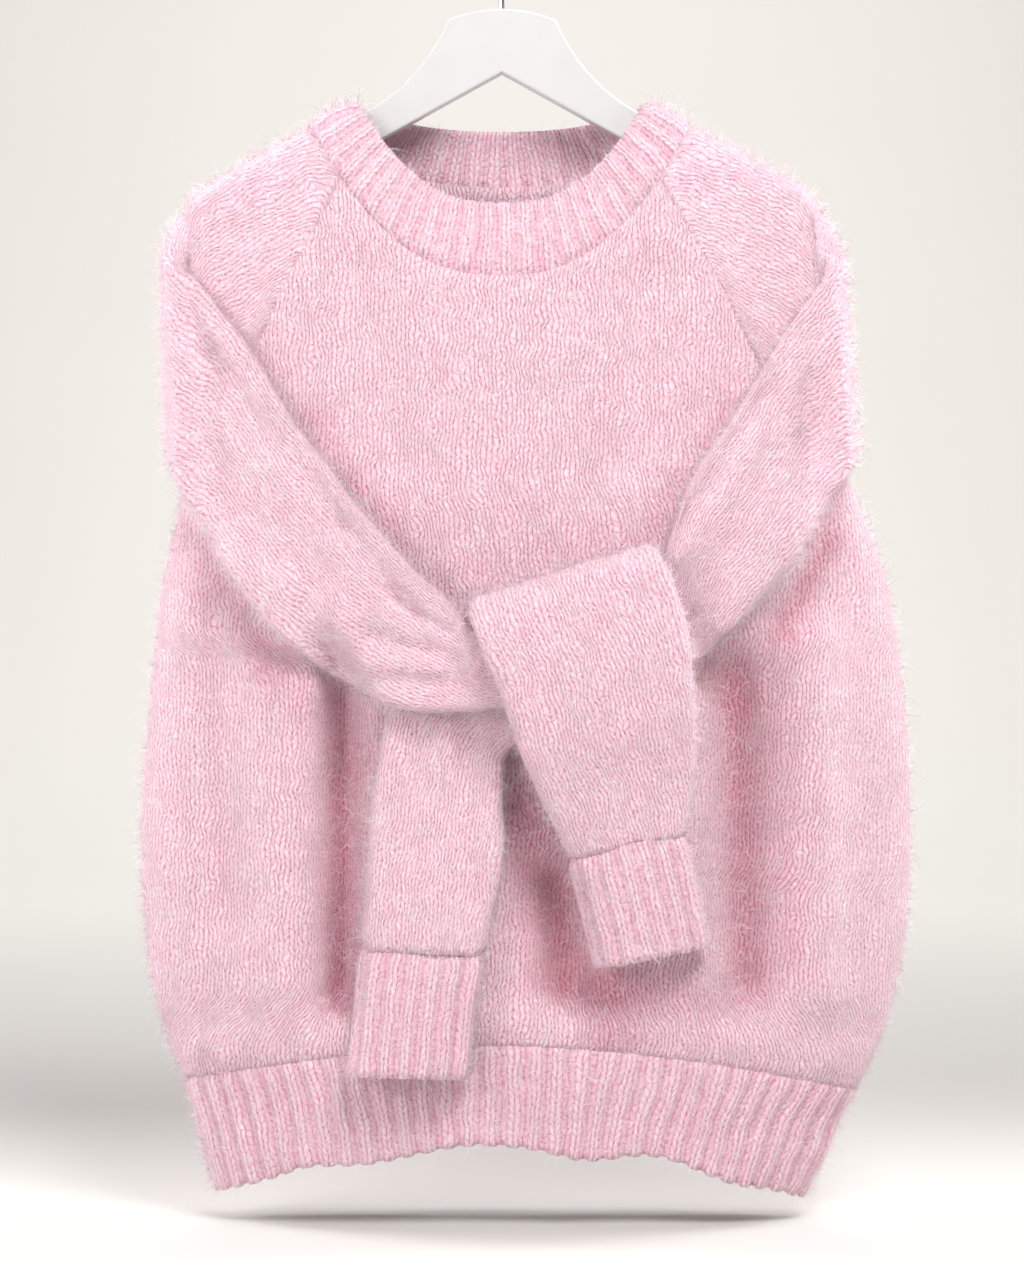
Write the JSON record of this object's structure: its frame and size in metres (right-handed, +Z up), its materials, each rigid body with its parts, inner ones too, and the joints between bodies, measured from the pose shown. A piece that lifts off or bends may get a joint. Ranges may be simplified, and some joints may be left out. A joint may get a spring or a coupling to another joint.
{
  "type": "mohair sweater on a hanger",
  "caption": "Brushed mohair raglan sweater with a ribbed neck, hem and cuffs, hung on a flat white hanger, its sleeves tied in a half knot in front.",
  "frame": {"origin": "inside top of the hanger's hook, where it hangs on a rail", "axes": "+Z up, +X across the garment towards the wearer's left, -Y out of the front"},
  "size_m": [0.4988, 0.1597, 0.8472],
  "materials": {
    "mohair": "brushed mohair stockinette, soft pink",
    "mohair_rib": "brushed mohair ribbing, soft pink",
    "lacquered_wood": "white satin lacquer",
    "hook_steel": "polished steel wire"
  },
  "bodies": {
    "root": {"body_front": "mohair", "body_back": "mohair", "hem_front": "mohair_rib", "hem_back": "mohair_rib", "neckband": "mohair_rib", "sleeve_right": "mohair", "sleeve_right_end": "mohair", "cuff_right": "mohair_rib", "sleeve_left": "mohair", "cuff_left": "mohair_rib", "hanger_bar": "lacquered_wood", "hanger_hook": "hook_steel"}
  },
  "joints": []
}
